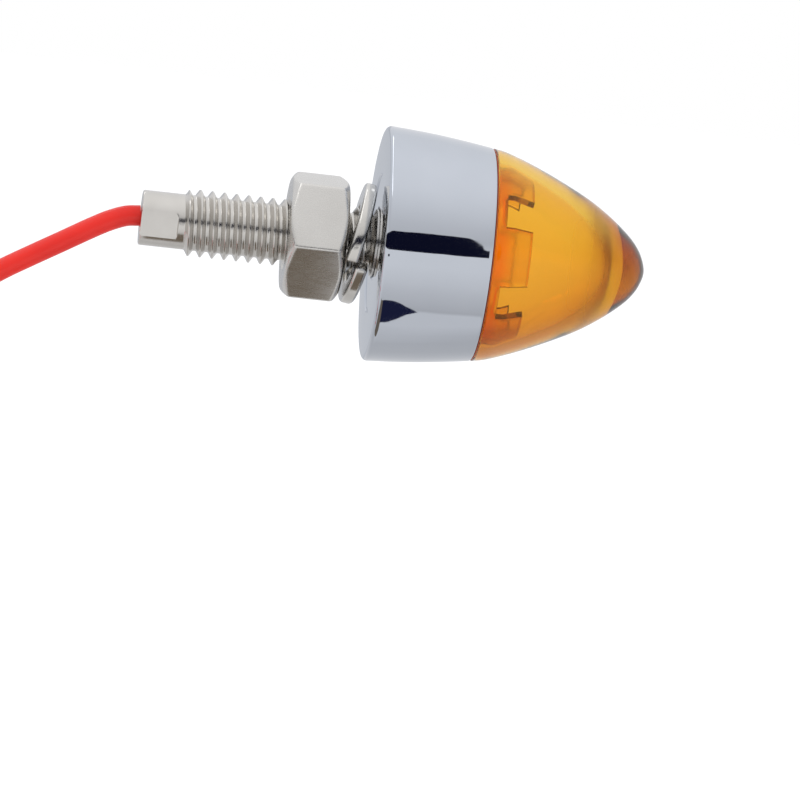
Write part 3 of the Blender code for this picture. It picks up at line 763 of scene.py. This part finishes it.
def build_stud():
    angles = stud_angles()
    bm = bmesh.new()

    def flatted(x, r, inset=0.0):
        ring = []
        for a in angles:
            reach = r
            for centre in (FLAT_TURN_DEG, FLAT_TURN_DEG + 180):
                c = math.cos(a - math.radians(centre))
                if c > 0:
                    reach = min(reach, (FLAT_DEPTH_R - inset) / c)
            ring.append(bm.verts.new(on_circle(x, reach, a)))
        return ring

    r = STUD_ROOT_R
    flat_end = STUD_END_X + FLAT_LENGTH
    rings = [add_ring(bm, STUD_END_X + 0.15, STUD_BORE_R, angles),
             add_ring(bm, STUD_END_X + 0.04, STUD_BORE_R + 0.04, angles),
             add_ring(bm, STUD_END_X, STUD_BORE_R + 0.15, angles),
             flatted(STUD_END_X, r - 0.22, 0.12),
             flatted(STUD_END_X + 0.03, r - 0.12, 0.06),
             flatted(STUD_END_X + 0.10, r - 0.04, 0.02),
             flatted(STUD_END_X + 0.20, r)]
    for x in (STUD_END_X + 1.5, STUD_END_X + 3.0, flat_end - 0.35):
        rings.append(flatted(x, r))
    # the cutter's radius where each flat runs out
    for t in (0.25, 0.5, 0.75, 1.0):
        lift = (1 - math.cos(t * math.pi / 2)) * 0.38
        rings.append(flatted(flat_end - 0.35 + 0.35 * math.sin(t * math.pi / 2), r, -lift))
    rings.append(add_ring(bm, flat_end + 0.02, r, angles))
    rings.append(add_ring(bm, THREAD_START_X, r, angles))
    join_all(bm, rings)
    add_helix_skin(bm, THREAD_START_X, THREAD_STOP_X, STUD_CREST_R, STUD_ROOT_R,
                   STUD_ROOT_R, THREAD_FADE, angles)
    inner = [(THREAD_STOP_X, STUD_ROOT_R), (THREAD_STOP_X + 0.2, NECK_R - 0.05),
             (THREAD_STOP_X + 0.26, NECK_R),
             (FLANGE_X[0], NECK_R), (FLANGE_X[0], FLANGE_R - 0.1),
             (FLANGE_X[0] + 0.1, FLANGE_R), (FLANGE_X[1] - 0.1, FLANGE_R),
             (FLANGE_X[1], FLANGE_R - 0.1), (FLANGE_X[1], STUD_BORE_R),
             (-10.0, STUD_BORE_R), (STUD_END_X + 0.15, STUD_BORE_R)]
    join_all(bm, [add_ring(bm, x, rr, angles) for x, rr in inner])
    return finish_mesh("threaded_stud", bm, MATS["stud"], 22)


stud = build_stud()
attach(stud, "root")
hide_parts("stud")


# ---------------------------------------------------------------------- nut
def build_nut():
    ease_deg = (-1.75, -1.2, -0.6, 0.0, 0.6, 1.2, 1.75)
    angles = []
    for corner in range(6):
        base = NUT_CORNER_DEG + 60.0 * corner
        angles += [base + d for d in ease_deg]
        angles += [base + 60.0 * j / 20 for j in range(1, 20)]
    angles = [math.radians(a) for a in angles]
    x0, x1 = NUT_X
    apothem = NUT_ACROSS_FLATS / 2
    corner_r = 0.45
    hub = (apothem - corner_r) / math.cos(math.pi / 6)
    slope = math.tan(math.radians(NUT_CHAMFER_DEG))

    def hex_r(angle):
        off = math.degrees(angle) - NUT_CORNER_DEG
        off = (off + 30.0) % 60.0 - 30.0
        d = math.radians(off)
        if abs(off) < 1.76:
            return hub * math.cos(d) + math.sqrt(corner_r ** 2 - (hub * math.sin(d)) ** 2)
        return apothem / math.cos(math.pi / 6 - abs(d))

    def side(end_x, inward):
        """Rings from the end face over the chamfer onto the hexagon."""
        rings = []
        for step in range(7):
            ring = []
            for a in angles:
                top = hex_r(a)
                corner = Vector((end_x + inward * (top - NUT_FACE_R) * slope, top))
                foot = Vector((end_x, NUT_FACE_R))
                back = (foot - corner).normalized()
                reach = min(0.32, (foot - corner).length * 0.45)
                if step == 0:
                    p = foot + Vector((0, -0.10))
                elif step == 1:
                    p = foot + Vector((inward * 0.012, -0.02))
                elif step == 2:
                    p = foot - back * 0.08
                else:
                    t = (step - 3) / 3
                    s, e = corner + back * reach, corner + Vector((inward * 0.38, 0))
                    p = s * (1 - t) ** 2 + corner * (2 * t * (1 - t)) + e * t ** 2
                ring.append(bm.verts.new(on_circle(p.x, p.y, a)))
            rings.append(ring)
        return rings

    bm = bmesh.new()
    sink = 0.35
    left = [add_ring(bm, x, r, angles)
            for x, r in ((x0 + sink, NUT_MAJOR_R), (x0 + 0.03, NUT_SINK_R - 0.03),
                         (x0, NUT_SINK_R + 0.06))]
    right = [add_ring(bm, x, r, angles)
             for x, r in ((x1, NUT_SINK_R + 0.06), (x1 - 0.03, NUT_SINK_R - 0.03),
                          (x1 - sink, NUT_MAJOR_R))]
    rings = [*left, *side(x0, 1), *side(x1, -1)[::-1], *right]
    join_all(bm, rings)
    add_helix_skin(bm, x0 + sink, x1 - sink, NUT_MAJOR_R, NUT_MINOR_R,
                   NUT_MAJOR_R, 0.4, angles)
    return finish_mesh("hexagon_nut", bm, MATS["nut"], 24)


nut = build_nut()
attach(nut, "nut")
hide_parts("hex_nut")


# ------------------------------------------------------------------- washer
def build_washer():
    start = WASHER_SPLIT_DEG - WASHER_GAP_DEG
    span = 360.0 - 2 * WASHER_GAP_DEG
    steps = 260
    half_w = (WASHER_OUTER_R - WASHER_INNER_R) / 2
    half_t = WASHER_THICK / 2
    soft = 0.42
    section = []
    for sx, sr, first in ((1, 1, 0), (-1, 1, 90), (-1, -1, 180), (1, -1, 270)):
        for i in range(7):
            a = math.radians(first + 15.0 * i)
            section.append((sx * (half_t - soft) + soft * math.cos(a),
                            sr * (half_w - soft) + soft * math.sin(a)))
    cant = Matrix.Rotation(math.radians(WASHER_CANT_DEG), 3, "Y")
    at = Vector((WASHER_X, 0, WASHER_DROP))
    mean_r = (WASHER_OUTER_R + WASHER_INNER_R) / 2
    bm = bmesh.new()
    rings = []
    ease = [(0.0, 0.90), (0.0006, 0.955), (0.0016, 0.985), (0.003, 1.0)]
    stops = ease + [((i + 1) / (steps + 1), 1.0) for i in range(2, steps - 1)]
    stops += [(1 - t, s) for t, s in reversed(ease)]
    for t, scale in stops:
        angle = math.radians(start - span * t)
        ring = []
        for dx, dr in section:
            p = on_circle(WASHER_LIFT * (t - 0.5) + dx * scale, mean_r + dr * scale, angle)
            ring.append(bm.verts.new(cant @ p + at))
        rings.append(ring)
    join_all(bm, rings)
    bm.faces.new(rings[0])
    bm.faces.new(rings[-1])
    return finish_mesh("split_washer", bm, MATS["washer"], 38)


washer = build_washer()
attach(washer, "washer")
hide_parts("lock_washer")


# ---------------------------------------------------- reflector and the LEDs
def build_reflector():
    x0, x1 = REFLECTOR_X
    bowl = []
    for i in range(25):
        t = i / 24
        bowl.append((x0 + 0.5 + (x1 - x0 - 0.5) * t, 5.0 + 3.85 * t ** 0.8))
    profile = [(x0, 5.0), *bowl, (x1, 9.15), (x1 - 0.1, 9.2), (x0 + 1.2, 9.2), (x0, 8.0)]
    return turned("reflector_bowl", profile, MATS["mirror"], 128)


reflector = build_reflector()
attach(reflector, "root")
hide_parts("reflector")


def build_led(index):
    """A white package with a round well that holds the phosphor."""
    angle = math.radians(90 + 120 * index)
    centre = Vector((BOARD_X[1] + 0.1 + LED_SIZE[0] / 2,
                     LED_RING_R * math.cos(angle), LED_RING_R * math.sin(angle)))
    turn = Matrix.Rotation(angle, 3, "X")
    hx, hy, hz = (s / 2 for s in LED_SIZE)
    bm = bmesh.new()
    n = 48
    well_r, depth, ease = 1.18, 0.45, 0.14

    def rounded(x, inset):
        ring = []
        for a in even_angles(n):
            c, s = math.cos(a), math.sin(a)
            p = 8.0
            k = (abs(c) ** p + abs(s) ** p) ** (-1 / p)
            ring.append(bm.verts.new((x, (hy - inset) * c * k, (hz - inset) * s * k)))
        return ring

    rings = [[bm.verts.new((-hx, 0, 0))], rounded(-hx, ease), rounded(-hx + ease, 0),
             rounded(hx - ease, 0), rounded(hx, ease)]
    for x, r in ((hx, well_r + 0.1), (hx - 0.05, well_r), (hx - depth, well_r - 0.12)):
        rings.append([bm.verts.new(on_circle(x, r, a)) for a in even_angles(n)])
    rings.append([bm.verts.new((hx - depth, 0, 0))])
    join_all(bm, rings)
    bmesh.ops.rotate(bm, matrix=turn, verts=bm.verts)
    bmesh.ops.translate(bm, vec=centre, verts=bm.verts)
    body = finish_mesh(f"led_body_{index + 1}", bm, MATS["led"])
    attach(body, "root")
    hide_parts(f"led_{index + 1}")
    bm = bmesh.new()
    rings = [[bm.verts.new((hx - depth + 0.02, 0, 0))]]
    for x, r in ((hx - depth + 0.02, well_r - 0.15), (hx - 0.10, well_r - 0.05),
                 (hx - 0.03, well_r * 0.75), (hx + 0.0, well_r * 0.4)):
        rings.append([bm.verts.new(on_circle(x, r, a)) for a in even_angles(n)])
    rings.append([bm.verts.new((hx + 0.01, 0, 0))])
    join_all(bm, rings)
    bmesh.ops.rotate(bm, matrix=turn, verts=bm.verts)
    bmesh.ops.translate(bm, vec=centre, verts=bm.verts)
    glow = finish_mesh(f"led_phosphor_{index + 1}", bm, MATS["phosphor"])
    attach(glow, "root")


for index in range(3):
    build_led(index)


# --------------------------------------------------------------------- lead
SIDE_STOPS = (0.0, 0.12, 0.25, 0.36, 0.44, 0.56, 0.64, 0.75, 0.88, 1.0)


def hank_half_width(z):
    """How far the hank's sides stand from its middle; the tie draws them in."""
    middle, half = (HANK_TOP_Z + HANK_BOTTOM_Z) / 2, (HANK_TOP_Z - HANK_BOTTOM_Z) / 2
    share = min(1.0, max(0.0, (abs(z - middle) / half - 0.12) / 0.88))
    return HANK_PINCH + (HANK_BEND_R - HANK_PINCH) * share * share * (3 - 2 * share)


def lead_centreline():
    """The lead's whole route: out of the stud, down, three turns of the hank,
    and the end that hangs from it."""
    stops = [Vector(p) for p in LEAD_ROUTE]
    r = HANK_BEND_R
    height = HANK_TOP_Z - HANK_BOTTOM_Z
    for turn in range(HANK_TURNS):
        x = HANK_X + HANK_STEP * turn
        last = turn == HANK_TURNS - 1
        for t in SIDE_STOPS:
            z = HANK_TOP_Z - height * t
            stops.append(Vector((x, -hank_half_width(z), z)))
        if last:
            break
        for deg in (210, 240, 270, 300, 330):
            a = math.radians(deg)
            stops.append(Vector((x, r * math.cos(a), HANK_BOTTOM_Z + r * math.sin(a))))
        for t in SIDE_STOPS:
            z = HANK_BOTTOM_Z + height * t
            stops.append(Vector((x + HANK_STEP * t, hank_half_width(z), z)))
        for deg in (30, 60, 90, 120, 150):
            a = math.radians(deg)
            stops.append(Vector((x + HANK_STEP, r * math.cos(a),
                                 HANK_TOP_Z + r * math.sin(a))))
    x = stops[-1].x
    stops += [Vector((x - 0.1, -r + 0.05, -64.2)), Vector((x - 0.3, -r + 0.2, -68.0)),
              Vector((x - 0.5, -r + 0.4, TAIL_END_Z))]
    return smooth_through(stops, 10)


LEAD = lead_centreline()


def build_lead():
    curve = bpy.data.curves.new("lead_wire", "CURVE")
    curve.dimensions = "3D"
    spline = curve.splines.new("POLY")
    spline.points.add(len(LEAD) - 1)
    for target, p in zip(spline.points, LEAD):
        target.co = (*(p * MM), 1)
    curve.bevel_depth = LEAD_R * MM
    curve.bevel_resolution = 8
    curve.use_fill_caps = True
    obj = bpy.data.objects.new("lead_wire", curve)
    bpy.context.scene.collection.objects.link(obj)
    curve.materials.append(MATS["pvc"])
    return obj


def build_tip():
    """Seven tinned strands laid up in a twist, run together at the end."""
    way = (LEAD[-1] - LEAD[-2]).normalized()
    start = LEAD[-1] - way * 0.6
    length = abs(TIP_END_Z - TAIL_END_Z) + 0.6
    side = way.orthogonal().normalized()
    other = way.cross(side)
    bm = bmesh.new()
    for strand in range(7):
        points = []
        for i in range(61):
            t = i / 60
            reach = 0.0 if strand == 0 else 0.335 * (1 - 0.25 * max(0, (t - 0.85) / 0.15) ** 2)
            a = 2 * math.pi * (strand / 6 + 1.6 * t)
            points.append(start + way * (length * t)
                          + side * (reach * math.cos(a)) + other * (reach * math.sin(a)))
        add_tube(bm, points, 0.172, 14,
                 taper=lambda t: 1.0 if t < 0.96 else math.sqrt(max(0.05, 1 - ((t - 0.96) / 0.042) ** 2)))
    # solder that fills the lay of the last millimetres
    points = [start + way * (length * t) for t in (0.45, 0.5, 0.6, 0.8, 0.92, 0.97, 1.0)]
    sizes = (0.30, 0.40, 0.45, 0.46, 0.45, 0.38, 0.16)
    rings = []
    for p, size in zip(points, sizes):
        rings.append([bm.verts.new(p + side * (size * math.cos(a)) + other * (size * math.sin(a)))
                      for a in even_angles(24)])
    join_all(bm, rings)
    bm.faces.new(rings[0][::-1])
    bm.faces.new(rings[-1])
    return finish_mesh("tinned_strands", bm, MATS["tinned"], 40)


def build_tie():
    """A nylon cable tie: ribbed band, ratchet head and the tongue's cut end."""
    near = HANK_X + LEAD_R
    far = HANK_X + HANK_STEP * (HANK_TURNS - 1) - LEAD_R
    mx, mz = (near + far) / 2, (HANK_TOP_Z + HANK_BOTTOM_Z) / 2
    hx, hy = (near - far) / 2 + 0.05, HANK_PINCH + LEAD_R + 0.05
    corner = 1.15
    bm = bmesh.new()
    path = []
    for cx, cy, first in ((1, 1, 0), (-1, 1, 90), (-1, -1, 180), (1, -1, 270)):
        for i in range(9):
            a = math.radians(first + 90.0 * i / 8)
            path.append((mx + cx * (hx - corner) + corner * math.cos(a),
                         cy * (hy - corner) + corner * math.sin(a),
                         math.cos(a), math.sin(a)))
    full = []
    for i, p in enumerate(path):
        q = path[(i + 1) % len(path)]
        gap = math.hypot(q[0] - p[0], q[1] - p[1])
        parts = max(1, round(gap / 0.5))
        for s in range(parts):
            t = s / parts
            full.append(tuple(p[k] + (q[k] - p[k]) * t for k in range(4)))
    half = 1.25
    rows = []
    for inner, dz in ((0.0, -half + 0.15), (0.12, -half), (0.62, -half), (0.78, -half + 0.18),
                      (0.78, half - 0.18), (0.62, half), (0.12, half), (0.0, half - 0.15)):
        row = []
        for i, (x, y, nx, ny) in enumerate(full):
            rib = 0.10 if inner > 0.7 and i % 2 == 0 else 0.0
            out = inner - rib
            row.append(bm.verts.new((x + nx * out, y + ny * out, mz + dz)))
        rows.append(row)
    join_all(bm, rows, closed=True)
    add_block(bm, (2.5, 3.4, 3.5), (near + 1.25, 0.2, mz), 0.35)
    add_block(bm, (0.9, 1.9, 2.3), (near + 1.5, -2.1, mz), 0.2)
    add_block(bm, (1.0, 0.35, 1.5), (near + 1.5, 1.85, mz), 0.12)
    return finish_mesh("cable_tie", bm, MATS["tie"], 35)


lead = build_lead()
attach(lead, "root")
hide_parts("lead_free", "lead_hank", "lead_tail")
tip = build_tip()
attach(tip, "root")
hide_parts("lead_tip")
tie = build_tie()
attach(tie, "root")
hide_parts("lead_tie")


# --------------------------------------------------------------------- stage
def build_world():
    """A white sweep for the camera, and a soft room for everything it lights.
    What the metal mirrors and what the lens lets through are set apart."""
    world = bpy.data.worlds.new("soft_studio")
    bpy.context.scene.world = world
    world.use_nodes = True
    tree = world.node_tree
    background = tree.nodes["Background"]
    place = tree.nodes.new("ShaderNodeTexCoord")
    split = tree.nodes.new("ShaderNodeSeparateXYZ")
    tree.links.new(place.outputs["Generated"], split.inputs[0])
    rays = tree.nodes.new("ShaderNodeLightPath")

    def ramp(stops):
        """Colour by height, from (elevation in degrees, level) pairs."""
        node = tree.nodes.new("ShaderNodeValToRGB")
        elements = node.color_ramp.elements
        while len(elements) < len(stops):
            elements.new(0.5)
        for element, (degrees, level) in zip(elements, stops):
            element.position = (math.sin(math.radians(degrees)) + 1) / 2
            tone = level if isinstance(level, tuple) else (level, level, level * 1.01)
            element.color = (*tone, 1)
        lift = tree.nodes.new("ShaderNodeMapRange")
        lift.inputs["From Min"].default_value = -1.0
        tree.links.new(split.outputs[2], lift.inputs["Value"])
        tree.links.new(lift.outputs["Result"], node.inputs["Fac"])
        return node.outputs["Color"]

    def mix(factor, a, b):
        node = tree.nodes.new("ShaderNodeMix")
        node.data_type = "RGBA"
        tree.links.new(factor, node.inputs[0])
        for socket, value in ((node.inputs[6], a), (node.inputs[7], b)):
            if isinstance(value, tuple):
                socket.default_value = value
            else:
                tree.links.new(value, socket)
        return node.outputs[2]

    behind = tree.nodes.new("ShaderNodeMapRange")
    behind.inputs["From Min"].default_value = -0.12
    behind.inputs["From Max"].default_value = 0.12
    tree.links.new(split.outputs[1], behind.inputs["Value"])
    behind = behind.outputs["Result"]

    soft = ramp(((-90, 0.74), (-10, 0.86), (8, 0.98), (90, 1.0)))
    mirrored = mix(behind, ramp(GLOSS_FRONT), ramp(GLOSS_BACK))
    through = mix(behind, ramp(THROUGH_FRONT), ramp(THROUGH_BACK))
    colour = mix(rays.outputs["Is Glossy Ray"], soft, mirrored)
    colour = mix(rays.outputs["Is Transmission Ray"], colour, through)
    colour = mix(rays.outputs["Is Camera Ray"], colour, (1, 1, 1, 1))
    tree.links.new(colour, background.inputs["Color"])


# levels by elevation: what polished metal mirrors in front and behind, and
# what stands in front of and behind the lens
GLOSS_FRONT = ((-90, 0.76), (-78, 0.86), (-62, 0.86), (-59.5, 0.66), (-56, 0.70),
               (-49, 0.75), (-41, 0.80), (-32, 0.88), (-24, 0.93), (-15, 0.98),
               (0, 0.98), (14, 0.75), (26, 0.82), (43, 0.95), (61, 1.05), (90, 1.10))
GLOSS_BACK = ((-90, 0.76), (-80, 0.78), (-67, 0.68), (-51, 0.68),
              (0, (0.84, 0.84, 0.86)), (37, (0.94, 0.95, 0.97)), (90, 1.10))
THROUGH_FRONT = ((-90, 0.60), (0, 0.78), (90, 0.95))
THROUGH_BACK = ((-90, (0.50, 0.26, 0.20)), (-25, (0.62, 0.35, 0.28)),
                (-9, (0.84, 0.62, 0.55)), (1, (0.96, 0.92, 0.90)), (12, 0.98), (90, 0.98))


def stage_plane(name, corners, colour, strength=1.0, seen=False):
    mesh = bpy.data.meshes.new(name)
    mesh.from_pydata([tuple(c) for c in corners], [], [tuple(range(len(corners)))])
    obj = bpy.data.objects.new(name, mesh)
    bpy.context.scene.collection.objects.link(obj)
    material = bpy.data.materials.new(name)
    material.use_nodes = True
    tree = material.node_tree
    tree.nodes.remove(tree.nodes["Principled BSDF"])
    glow = tree.nodes.new("ShaderNodeEmission")
    glow.inputs["Color"].default_value = (*colour, 1)
    glow.inputs["Strength"].default_value = strength
    tree.links.new(glow.outputs[0], tree.nodes["Material Output"].inputs["Surface"])
    mesh.materials.append(material)
    if not seen:
        obj.visible_camera = False
        obj.visible_diffuse = False
        obj.visible_shadow = False
        obj.visible_transmission = False
    return obj


def build_floor():
    bm = bmesh.new()
    rings = [[bm.verts.new((r * math.cos(a), r * math.sin(a), FLOOR_Z))
              for a in even_angles(96)] for r in (0.05, 0.5, 2.0, 6.0)]
    centre = [bm.verts.new((0, 0, FLOOR_Z))]
    join_all(bm, [centre, *rings])
    bmesh.ops.recalc_face_normals(bm, faces=bm.faces)
    mesh = bpy.data.meshes.new("pale_floor")
    bm.to_mesh(mesh)
    bm.free()
    obj = bpy.data.objects.new("pale_floor", mesh)
    bpy.context.scene.collection.objects.link(obj)
    m = Nodes("pale_floor")
    m.set(Base_Color=(0.86, 0.86, 0.87, 1.0), Roughness=0.9)
    m.shader.inputs["Specular IOR Level"].default_value = 0.1
    m.set(Emission_Color=(1.0, 1.0, 1.0, 1.0), Emission_Strength=0.22)
    mesh.materials.append(m.material)
    obj.visible_glossy = False
    obj.visible_transmission = False


def direction(azimuth, elevation):
    """Unit vector from the object; azimuth 0 is -Y and turns towards +X."""
    a, e = math.radians(azimuth), math.radians(elevation)
    return Vector((math.sin(a) * math.cos(e), -math.cos(a) * math.cos(e), math.sin(e)))


def sky_card(name, outline, distance, colour):
    """A card seen only in reflections, from (azimuth, elevation) corners."""
    return stage_plane(name, [direction(a, e) * distance for a, e in outline], colour)


build_world()
build_floor()
# the dark gap behind the camera that the chrome mirrors as one stripe
DARK = (0.006, 0.007, 0.022)
sky_card("dark_gap", ((3.8, -1.5), (12.3, -1.46), (16.1, -1.18), (18.7, -0.8), (21.1, -0.9),
                      (22.6, -0.4), (24.0, -0.05), (24.6, 0.1), (24.6, 6.6), (24.1, 7.2),
                      (23.75, 8.4), (23.65, 10.6), (23.5, 13.4), (23.2, 16.2), (22.6, 17.4),
                      (21.2, 17.4), (19.0, 17.3), (16.5, 17.3), (14.5, 17.0), (12.6, 16.4),
                      (3.8, 15.9)), 0.9, DARK)
GAP_END = ((-122, -1.8, 0.4), (-103, -1.5, 3.2), (-86, -1.3, 6.0), (-75, -1.25, 8.0),
           (-62, -1.2, 9.8), (-50, -1.2, 11.4), (-38, -1.2, 12.9), (-25, -1.2, 14.2),
           (-10, -1.35, 15.2), (3.8, -1.5, 15.9))
for number, (a, b) in enumerate(zip(GAP_END, GAP_END[1:])):
    sky_card(f"dark_gap_end_{number + 1}",
             ((a[0], a[1]), (b[0], b[1]), (b[0], b[2]), (a[0], a[2])), 0.9, DARK)
sky_card("thin_gap", ((-9, -8.1), (8.5, -8.1), (8.5, -5.8), (-9, -5.8)), 0.9, DARK)
# a mat under the stud and nut, whose dark end the chrome mirrors as a patch
NAVY_MAT = ((23.1, -76), (24.4, -70), (26.4, -59), (27.3, -50.5), (24.1, -45.3),
            (20.9, -38), (18.2, -31), (16.6, -25.7), (13, -25), (13, -76))
BROWN_MAT = ((13, -76), (13, -25), (12, -10), (9, 4), (-42, 4), (-42, -76))
stage_plane("navy_mat", [(x * MM, y * MM, -0.09) for x, y in NAVY_MAT], (0.016, 0.019, 0.055))
stage_plane("brown_mat", [(x * MM, y * MM, -0.09) for x, y in BROWN_MAT], (0.200, 0.165, 0.130))
# greys behind, which the back face mirrors at a grazing angle
sky_card("rear_grey", ((178, -16), (200, -16), (212, -10), (212, 8), (200, 14), (178, 14)),
         0.9, (0.60, 0.62, 0.66))
# a long strip light over the left side draws the line along the back rim
sky_card("strip_light", ((-52, 41), (-52, 50), (-90, 52), (-130, 52), (-165, 48), (-165, 40),
                         (-130, 44), (-90, 44)), 0.9, (2.4, 2.4, 2.4))


# -------------------------------------------------------------------- camera
def build_camera():
    lens_mm, sensor = 200.0, 36.0
    per_mm = 8.588                      # frame units of 1/800 per millimetre
    distance = 800.0 * lens_mm / sensor / per_mm * MM
    origin_at = (374.2, 242.9)          # where the seat's centre falls in 800
    tilt = -6.3                        # how the stud's axis leans in the frame
    back = direction(-5.2, 3.0)
    data = bpy.data.cameras.new("camera")
    data.lens = lens_mm
    data.sensor_width = sensor
    data.clip_start, data.clip_end = 0.01, 50
    camera = bpy.data.objects.new("camera", data)
    bpy.context.scene.collection.objects.link(camera)
    bpy.context.scene.camera = camera
    seen = Vector(((origin_at[0] - 400) / 800 * sensor,
                   (400 - origin_at[1]) / 800 * sensor, -lens_mm)).normalized()
    turn = seen.rotation_difference(-back).to_matrix()
    spot = back * distance
    for _ in range(6):
        ends = []
        for x in (-0.02, 0.02):
            p = turn.transposed() @ (Vector((x, 0, 0)) - spot)
            ends.append(Vector((p.x, p.y)) / -p.z)
        now = math.degrees(math.atan2(ends[1].y - ends[0].y, ends[1].x - ends[0].x))
        turn = Matrix.Rotation(math.radians(now - tilt), 3, back) @ turn
    camera.matrix_world = Matrix.Translation(spot) @ turn.to_4x4()


build_camera()


def area_light(name, where, aim, size, power, colour=(1, 1, 1)):
    data = bpy.data.lights.new(name, "AREA")
    data.shape = "RECTANGLE"
    data.size, data.size_y = size
    data.energy = power
    data.color = colour
    obj = bpy.data.objects.new(name, data)
    bpy.context.scene.collection.objects.link(obj)
    obj.location = where
    obj.rotation_euler = (Vector(aim) - Vector(where)).to_track_quat("-Z", "Y").to_euler()
    obj.visible_glossy = False
    return obj


area_light("key", (-0.25, -0.35, 0.75), (0, 0, 0), (0.5, 0.4), 3.0)

# the soft light that gathers in the reflector's bowl, behind the lens
data = bpy.data.lights.new("bowl_fill", "POINT")
data.shadow_soft_size = 0.0015
data.energy = 0.0020
data.color = (1.0, 0.58, 0.26)
fill = bpy.data.objects.new("bowl_fill", data)
bpy.context.scene.collection.objects.link(fill)
fill.location = (0.0125, 0, 0)
fill.visible_camera = fill.visible_glossy = fill.visible_transmission = False

bpy.context.scene.cycles.max_bounces = 32
bpy.context.scene.cycles.transmission_bounces = 32
bpy.context.scene.view_settings.view_transform = "Standard"
bpy.context.scene.view_settings.look = "None"
